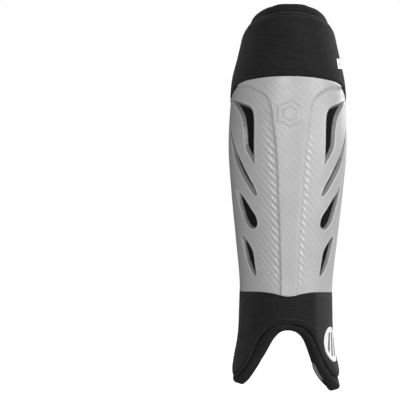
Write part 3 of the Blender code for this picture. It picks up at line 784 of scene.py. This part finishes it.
def make_shell(material):
    """The moulded shell: raised centre band, recessed vents with thin lips, emblem, twill, and the masks for
    painted glints, painted rim highlights and painted shade.
    """
    edge = outline(SHELL, step=1.2)
    vents = vent_loops(1.0)
    band = outline(BAND)

    def keep(points):
        return inside(points, edge) & ~np.any([inside(points, hole) for _, hole in vents], axis=0)

    loops = [edge, inset(edge, 0.3), inset(edge, EDGE_RADIUS), inset(band, -0.15), inset(band, 1.95)]
    for lip, hole in vents:
        loops += [lip, inset(lip, 0.6), hole]
    fine = np.arange(-15, 15.1, 0.45)
    dense = [(u, EMBLEM["z"] + z) for u in fine for z in fine if abs(u) / 14.5 + abs(z) / 16.0 < 1]
    flat, faces = pattern(keep, loops, 1.15, dense=dense)

    u, height = flat.T
    to_edge = reach(flat, edge)
    from_band = depth_inside(flat, band)
    inner_side = u < 0
    slope = np.where(inner_side, BAND_SLOPE["inner"], BAND_SLOPE["outer"])
    outer = BAND_RISE * ramp((from_band - 0.9) / slope + 0.5)
    inner = np.full(len(flat), -SHELL_THICKNESS)
    # Lighter along the shell's edge: wear and painted highlight.
    rim_wear_and_highlight = ease(1 - to_edge / 1.4)
    weave = ease((to_edge - 3) / 6)
    painted_shade = np.zeros(len(flat))
    for lip, hole in vents:
        from_lip = depth_inside(flat, lip)
        to_hole = reach(flat, hole)
        within = from_lip > 0
        sunk = np.where(within, ease(from_lip / np.maximum(from_lip + to_hole, 1e-6)) ** 0.75, 0.0)
        outer -= RECESS_DEPTH * sunk
        inner -= 1.0 * sunk
        # Painted shade inside each vent recess.
        painted_shade = np.maximum(painted_shade, np.where(within, ease(from_lip / 0.6), 0.0))
        outer += LIP_RISE * np.exp(-((from_lip + 0.7) / 0.8) ** 2)
        # Painted highlight along each vent lip.
        rim_wear_and_highlight = np.maximum(rim_wear_and_highlight, 0.8 * np.exp(-((from_lip + 0.4) / 0.55) ** 2))
        weave = np.minimum(weave, ease((-from_lip - 2.0) / 7.0))
    # A painted shadow line in the crease beside the band's right edge, on that side only.
    painted_shade = np.maximum(painted_shade, 0.34 * np.exp(-((from_band + 0.9) / 0.7) ** 2) * (u > 0))
    # A painted highlight line just inside the band's right edge.
    rim_wear_and_highlight = np.maximum(rim_wear_and_highlight, 0.3 * np.exp(-((from_band - 0.9) / 0.7) ** 2) * (u > 0))
    weave *= 1 - 0.9 * ease((np.abs(u) - 34) / 10)
    weave *= 1 - 0.45 * ease(from_band / 3)
    # Glint mask: beside the band the colour gets painted glints (and lower roughness, deeper relief), 1.5
    # times stronger on the inner side, which lies in shade.
    glint = np.exp(-((from_band + np.where(inner_side, 3.8, 3.6)) / np.where(inner_side, 2.8, 1.9)) ** 2)
    glint *= ease((height - 88) / 25) * ease((252 - height) / 40) * (np.abs(u) < 32)
    glint *= np.where(inner_side, 1.5, 1.0)
    round_off = np.clip(1 - to_edge / EDGE_RADIUS, 0, 1)
    outer -= EDGE_RADIUS * (1 - np.sqrt(1 - round_off ** 2 * 0.96))
    near = np.abs(u) < 16
    ridge = np.zeros(len(flat))
    for line in emblem_lines():
        distance = reach(flat[near], line)
        ridge[near] = np.maximum(ridge[near], 1 - ease((distance - 0.25) / EMBLEM["width"]))
    outer += EMBLEM["rise"] * ridge
    weave *= 1 - ease(ridge * 3)
    shell = sheet_solid("shell_moulding", (flat, faces), outer, inner, [material], smooth_angle=50)
    for name, values in (("weave", weave), ("rim_wear_and_highlight", rim_wear_and_highlight), ("painted_shade", painted_shade), ("glint", glint)):
        add_value(shell, name, values)
    attach(shell, "guard", "shell_plastic", "shell")


def level_line(z):
    """A line right across the flat pattern at one height."""
    return np.array([(u, z) for u in np.arange(-120, 121, 2.0)])


def make_backing(material):
    cover = cover_loop()
    low, high = ANKLE_SEAM - 6, KNEE_SEAM + 6

    def keep(points):
        return inside(points, cover) & (points[:, 1] > low) & (points[:, 1] < high)

    flat, faces = pattern(keep, [cover, inset(cover, 1.2)], 2.4, lines=[level_line(low), level_line(high)])
    edge = reach(flat, cover)
    outer = -2.75 - 0.35 * np.clip(1 - edge / 1.2, 0, 1) ** 2 + 0.08 * waves(flat, 45, 3)
    pressed = np.zeros(len(flat))
    for lip, _ in vent_loops(2.0):
        pressed = np.maximum(pressed, ease(depth_inside(flat, lip) / 2 + 1))
    outer -= 0.7 * pressed
    backing = sheet_solid("backing_mesh", (flat, faces), outer, outer - 0.45, [material], smooth_angle=35)
    attach(backing, "guard", "spacer_mesh", "backing")


def make_cover(name, nodes, sizes, material):
    """A padded cover: it starts under the shell, climbs out past its edge, and rounds over at its margin."""
    face, seam, up, step, seed = sizes.values()
    cover = cover_loop()
    shell = outline(SHELL)
    tail = seam - up * 0.5

    def keep(points):
        return inside(points, cover) & (up * (points[:, 1] - tail) > 0) & (depth_inside(points, shell) < 8)

    loops = [cover, inset(cover, 0.7), inset(cover, 2.5)]
    loops += [inset(shell, distance) for distance in (-0.5, -2.0, 8)]
    flat, faces = pattern(keep, loops, step, lines=[level_line(tail)])
    out = np.minimum(-depth_inside(flat, shell), up * (flat[:, 1] - seam) + 1.0)
    margin = depth_inside(flat, cover)
    climb = ease((out - 0.2) / 2.6) ** 0.7
    fall = (face + 2.4) * (1 - np.sqrt(1 - np.clip(1 - margin / 5.0, 0, 1) ** 2 * 0.98))
    outer = -2.6 + climb * (face + 2.6) - climb * fall
    outer += 0.16 * climb * waves(flat, 42, seed) * ease(margin / 6)
    inner = np.minimum(outer - 0.7, -3.5)
    past = flat[:, 0] - FOLD["u"]
    # The fold is real relief on the ankle's outer side; its mask also paints that side lighter as painted
    # side light.
    fold_and_sidelight = ease((past + 4.0) / 8.0) if up < 0 else np.zeros(len(flat))
    fade = np.exp(-np.maximum(past, 0) / 9.0)
    outer += climb * FOLD["rise"] * fold_and_sidelight * fade * ease(margin / 4)
    piece = sheet_solid(name, (flat, faces), outer, inner, [material])
    add_value(piece, "painted_sidelight", fold_and_sidelight)
    free = ease((out - 4) / 8) * ease((margin - 4) / 8)
    puff(piece, np.concatenate((free, np.zeros(len(flat)))), 0.9)
    attach(piece, "guard", "jersey", *nodes)
    return piece


def make_binding(material):
    """Tape folded round the whole edge of the outer guard."""
    section = ellipse_section(1.5, -5.9, 3.4, 6.6, 14, 4.0)
    attach(sweep("edge_tape", cover_loop(1.6), section, material), "guard", "edge_tape", "edge_binding")


def applied(name, cut, base, thickness, material, node):
    """A thin print that lies on a cover's real surface."""
    edge = reach(cut[0], cut[2]) if len(cut) > 2 else np.full(len(cut[0]), 9.0)
    under = surface_depth(base, cut[0])
    outer = under + thickness - 0.12 * np.clip(1 - edge / 0.6, 0, 1) ** 2
    piece = sheet_solid(name, cut[:2], outer, under - 0.25, [material])
    attach(piece, "guard", "white_print", node)


def make_badge(base, material):
    loop = BADGE["radius"] * np.array([(math.cos(a), math.sin(a)) for a in np.arange(0, 2 * math.pi, 0.07)])
    loop += (BADGE["u"], BADGE["z"])
    cut = pattern(lambda points: inside(points, loop), [loop, inset(loop, 0.5)], 1.2)
    applied("ankle_roundel", (*cut, loop), base, 0.3, material, "ankle_badge")


def make_print(base, material):
    """A row of plain slanted bars."""
    low, high, slant = BARS["z"], BARS["z"] + BARS["height"], BARS["slant"]
    loops = []
    for number in range(BARS["count"]):
        left = BARS["u"] + number * BARS["pitch"]
        right = left + BARS["width"]
        loops.append(np.array([(left, low), (right, low), (right + slant, high), (left + slant, high)]))

    cut = pattern(lambda spots: np.any([inside(spots, loop) for loop in loops], axis=0), loops, 1.2)
    applied("cuff_bars", cut, base, 0.22, material, "cuff_print")


# ---- the liner ----


def make_liner(outside, lining, thread):
    """The soft inner pad; its edge rolls outwards where it stands past the outer guard."""
    edge = outline(LINER_TOP + LINER_OUTER_LOBE, LINER_TOP + LINER_INNER_LOBE)
    cover = inset(cover_loop(), -0.5)
    seam = inset(edge, LINER_BORDER)
    loops = [edge, inset(edge, 0.5), inset(edge, 1.6), seam]
    flat, faces = pattern(lambda points: inside(points, edge), loops, 1.9)
    girth, height = flat.T
    margin = reach(flat, edge)
    past = -depth_inside(flat, cover)
    roll = ease((past - 0.1) / 0.9)
    rounding = np.clip(1 - margin / 2.8, 0, 1) ** 2
    crown = -3.2 - 3.8 * (1 - np.sqrt(1 - rounding * 0.98))
    outer = -10.5 + roll * (crown + 10.5) + 0.1 * waves(flat, 30, 8)
    inner = -14.4 + 3.0 * (1 - np.sqrt(1 - rounding * 0.98))
    quilt = np.abs(((girth + 100) / 25.0) % 1 - 0.5) * 25.0
    groove = np.maximum(np.exp(-(quilt / 1.1) ** 2), np.exp(-(reach(flat, seam) / 1.0) ** 2))
    inner += 0.9 * groove - 0.35 * ease(margin / 8) + 0.1 * waves(flat, 26, 5)
    liner = sheet_solid("inner_liner", (flat, faces), outer, inner, [outside, lining], 1)
    at_border = reach(flat[faces].mean(axis=1), edge) < LINER_BORDER
    for face in np.flatnonzero(at_border):
        liner.data.polygons[len(faces) + int(face)].material_index = 0
    # Painted highlight: a sliver of the liner's inner edge on the outer lobe is painted light grey.
    sliver_highlight = ease((girth - 30) / 3) * ease((56 - girth) / 3)
    sliver_highlight *= ease((height - 9) / 7) * ease((33 - height) / 9)
    add_value(liner, "painted_sliver_highlight", np.zeros(len(flat)), sliver_highlight * (margin < 0.3))
    attach(liner, "guard", "jersey", "liner_pad", "liner_face", "liner_top_roll", "liner_ankle_roll")
    stitches("liner_stitch", [(inset(edge, LINER_BORDER - 1.6), True)], -14.35, thread, "jersey")


# ---- the straps ----


def strap_path(strap, s, z):
    """The strap's middle line, in millimetres, at distances s in five stretches, for each height z."""
    def wing(u, depth):
        return place(np.column_stack((np.broadcast_to(u, len(z)), z)), depth) / MM

    def blend(start, start_pull, end, end_pull, t):
        return (start * (1 + 2 * t) * (1 - t) ** 2 + end * t * t * (3 - 2 * t)
                + start_pull * t * (1 - t) ** 2 - end_pull * t * t * (1 - t))

    hinge = wing(strap["hinge"], ANCHOR_DEPTH)
    land = wing(strap["land"], LAND_DEPTH)
    leave = hinge - wing(strap["hinge"] + 1.0, ANCHOR_DEPTH)
    arrive = wing(strap["land"] - 1.0, LAND_DEPTH) - land
    left = np.column_stack((np.full(len(z), -STRAP_FLAT), np.full(len(z), AXIS_Y + strap["rear"]), z))
    right = left * (-1, 1, 1)
    level = np.array((STRAP_PULL, 0, 0))
    t = s[:, None]
    stretches = (
        wing(strap["hinge"] - s * STRAP_LEAVE, ANCHOR_DEPTH),
        blend(hinge, leave * STRAP_PULL, left, level, np.clip(t, 0, 1)),
        left + (right - left) * np.clip(t - 1, 0, 1),
        blend(right, level, land, arrive * STRAP_PULL, np.clip(t - 2, 0, 1)),
        wing(strap["land"] + (strap["end"] - strap["land"]) * (s - 3), LAND_DEPTH),
    )
    return np.select([t <= 0, t <= 1, t <= 2, t <= 3], stretches[:4], stretches[4])


def soft_path(strap, s, z):
    """The strap's path with its two bends behind the leg rounded, as soft webbing takes them."""
    window = 0.34 * ease(np.minimum(s - 0.15, 2.85 - s) / 0.5)
    shares = np.linspace(-1, 1, 5)
    return sum(strap_path(strap, s + share * window, z) for share in shares) / len(shares)


def strap_point(strap, s, z, offset):
    ahead = soft_path(strap, s + 0.01, z) - soft_path(strap, s - 0.01, z)
    normal = unit(np.column_stack((-ahead[:, 1], ahead[:, 0], 0 * s)))
    return (soft_path(strap, s, z) + normal * np.broadcast_to(offset, len(s))[:, None]) * MM


def make_strap(side, strap, webbing, thread):
    """One length of elastic webbing, from its sewn end on the inner wing round to the outer wing."""
    s = np.concatenate((np.linspace(-0.5, 0, 19), np.linspace(0, 1, 40)[1:], np.linspace(1, 2, 30)[1:],
                        np.linspace(2, 3, 40)[1:], np.linspace(3, 4, 20)[1:]))
    ribs = 24
    edge = np.linspace(-1, 1, ribs + 1)
    shape = 1 - np.abs(edge) ** 14
    section = [(x, 0.25 + 0.35 * h + (0.12 if abs(x) > 0.88 else 0) * h) for x, h in zip(edge, shape)]
    section += [(x, -(0.25 + 0.35 * h)) for x, h in zip(edge[::-1], shape[::-1])]
    half = strap["width"] / 2
    corner = 2.0 * (1 - np.sqrt(1 - np.clip((s - 3.9) / 0.1, 0, 1) ** 2 * 0.99))
    rows, flats = [], []
    for share, offset in section:
        z = strap["z"] + share * (half - corner)
        rows.append(strap_point(strap, s, z, offset))
        flats.append(np.column_stack((s * STRAP_LEAVE, z)))
    piece = loft(side + "_webbing", rows, flats, webbing, closed=False)
    ends = strap_path(strap, np.array((-0.03, 0.03)), np.full(2, strap["z"])) * MM
    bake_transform(piece)
    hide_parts(side + "_strap", side + "_strap_anchor")

    root = strap["hinge"] + 2.5
    low, high = strap["z"] - half + 3, strap["z"] + half - 3
    box = rounded(root, root + 13, low, high, 0.5, 1.0)
    rising, falling = np.array([(root, low), (root + 13, high)]), np.array([(root, high), (root + 13, low)])
    lines = [(box, True), (rising, False), (falling, False)]
    stitches(side + "_box_stitch", lines, ANCHOR_DEPTH + 0.75, thread, "webbing")


def make_tapes(side, strap, hook, pile, thread):
    """The hook pad under the strap's end, the pile patch that it grips, and the end's seam."""
    end, land = strap["end"], strap["land"]
    low, high = strap["z"] - strap["width"] / 2, strap["z"] + strap["width"] / 2
    for name, node, loop, outer, inner, material, body, slot in (
        ("_grip_pad", "_hook_tab", rounded(end + 1, land - 2.2, low + 1, high - 1, 2),
         -0.15, -1.0, hook, side + "_strap", "hook_tape"),
        ("_pile_patch", "_loop_patch", rounded(end + 0.4, land - 3, low, high, 2.5),
         -1.4, -2.9, pile, "guard", "loop_pile"),
    ):
        cut = pattern(lambda points: inside(points, loop), [loop, inset(loop, 0.6)], 1.8)
        face = outer - 0.3 * np.clip(1 - reach(cut[0], loop) / 0.8, 0, 1) ** 2
        piece = sheet_solid(side + name, cut, face, inner, [material])
        attach(piece, body, slot, side + node)
    seam = rounded(end + 2.2, land - 5, low + 2, high - 2, 2, 1.0)
    stitches(side + "_tab_stitch", [(seam, True)], LAND_DEPTH + 0.72, thread, "webbing", side + "_strap")


# ---- seams ----


def upper_line(loop, low):
    """The part of a loop above a height, in order."""
    part = loop[loop[:, 1] > low]
    return part[np.argsort(np.arctan2(part[:, 0], part[:, 1] - low + 40))]


def lower_line(loop, high):
    """The part of a loop below a height, in order."""
    above = loop[:, 1] > high
    first = int(np.argmax(above & ~np.roll(above, -1))) + 1
    return np.roll(loop, -first, 0)[:int(np.sum(~above))]


def make_seams(knee, ankle, thread, piping):
    """Piping along the cuff's top edge and the ankle wrap's edge, its lighter tone a painted edge highlight,
    and a row of stitches beside each.
    """
    cover = cover_loop(1.0)
    for name, base, part, height, depth, distance in (
        ("cuff", knee, upper_line, 285, -1.1, 4.1),
        ("ankle", ankle, lower_line, 92, -1.9, 4.3),
    ):
        line = part(inset(cover, 0.9), height)[::2]
        round_cord = ellipse_section(0.0, depth, 1.5, 1.5, 8, 2.0)
        attach(sweep(name + "_piping", line, round_cord, piping, closed=False), "guard", "edge_tape")
        row = [(part(inset(cover, distance), height), False)]
        stitches(name + "_stitch_1", row, lambda spots: surface_depth(base, spots) + 0.02, thread, "jersey")


# ---- the studio ----


def look_at_front():
    """The camera stands far in front, a little to the guard's left, with the guard right of the middle."""
    data = bpy.data.cameras.new("camera")
    data.sensor_width = 36.0
    data.lens = CAMERA["lens"]
    camera = link(bpy.data.objects.new("camera", data))
    turn, far, beside = math.radians(CAMERA["turn"]), CAMERA["far"], CAMERA["beside"]
    camera.location = (-far * math.sin(turn) - beside * math.cos(turn),
                       -far * math.cos(turn) + beside * math.sin(turn), CAMERA["height"])
    camera.rotation_euler = (math.radians(90), math.radians(CAMERA["roll"]), -turn)
    bpy.context.scene.camera = camera


def area_light(name, location, size, power):
    data = bpy.data.lights.new(name, "AREA")
    data.shape = "RECTANGLE"
    data.size, data.size_y = size
    data.energy = power
    light = link(bpy.data.objects.new(name, data))
    light.location = location
    light.rotation_euler = (AIM - light.location).to_track_quat("-Z", "Y").to_euler()


def make_studio():
    """A pale floor and world that look white to the camera and give soft light to the guard."""
    floor_mesh = bpy.data.meshes.new("floor")
    floor_mesh.from_pydata([(-3, -3, 0), (3, -3, 0), (3, 3, 0), (-3, 3, 0)], [], [(0, 1, 2, 3)])
    floor = link(bpy.data.objects.new("floor", floor_mesh))
    paper = Material("white_paper", grey(0.3), 0.9)
    seen = paper.node("LightPath").outputs["Is Camera Ray"]
    paper.set("Emission Color", (1, 1, 1, 1))
    paper.set("Emission Strength", paper.mul(seen, 0.97))
    floor.data.materials.append(paper.data)
    floor.location.z = -0.0002

    world = bpy.data.worlds.new("studio")
    bpy.context.scene.world = world
    world.use_nodes = True
    sky = Nodes(world.node_tree)
    along = sky.node("SeparateXYZ", sky.node("TexCoord").outputs["Generated"]).outputs[0]
    side = sky.spread(along, -0.7, 0.9, WORLD["left"], WORLD["right"])
    seen = sky.node("LightPath").outputs["Is Camera Ray"]
    background = world.node_tree.nodes["Background"]
    sky.plug(sky.math("MAXIMUM", side, seen), background.inputs["Strength"])
    background.inputs["Color"].default_value = (1, 1, 1, 1)

    for light in LIGHTS:
        area_light(*light)
    bpy.context.scene.view_settings.view_transform = "Standard"


def carry_over(materials):
    for node, material in materials.items():
        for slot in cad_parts[node].material_slots:
            slot.material = material


def main():
    jersey = jersey_material("black_jersey", (0.0105, 0.0105, 0.0109), (0.025, 0.025, 0.0255), sheen=0.09)
    lining = mesh_material("lining_mesh", (0.030, 0.030, 0.032), (0.060, 0.060, 0.063), 3.2)
    webbing, hook, pile, foam = webbing_material(), hook_material(), pile_material(), foam_material()
    hard = plain_material("black_hard_plastic", grey(0.02), 0.4, 900.0, 0.00005)
    # The piping is a real cord; its lighter black is a painted highlight standing in for the cover edges
    # catching light.
    piping = jersey_material("piping", (0.030, 0.030, 0.031), (0.055, 0.055, 0.056), 0.9, 0.1)
    thread = plain_material("thread", (0.045, 0.045, 0.047), 0.6, 2500.0, 0.0001)
    white, _ = print_material("white_print", grey(0.55))

    make_shell(shell_material())
    make_backing(mesh_material("spacer_mesh", grey(0.003), grey(0.007)))
    knee = make_cover("knee_cuff", ("knee_cover", "knee_pad"), KNEE_COVER, jersey)
    ankle = make_cover("ankle_wrap", ("ankle_cover", "ankle_pad"), ANKLE_COVER, jersey)
    make_binding(jersey_material("edge_tape", grey(0.008), (0.020, 0.020, 0.0205), 0.9, 0.05))
    make_badge(ankle, badge_material())
    make_print(knee, white.data)
    make_liner(jersey, lining, thread)
    for side, strap in STRAPS.items():
        make_strap(side, strap, webbing, thread)
        make_tapes(side, strap, hook, pile, thread)
    make_seams(knee, ankle, thread, piping)
    dots = {"liner_hook_dot_%d" % number: hook for number in range(1, 5)}
    cups = {"ankle_cup_inner": hard, "ankle_cup_outer": hard}
    carry_over({"foam_board": foam, "back_lining": foam, **cups, **dots})
    look_at_front()
    make_studio()


main()
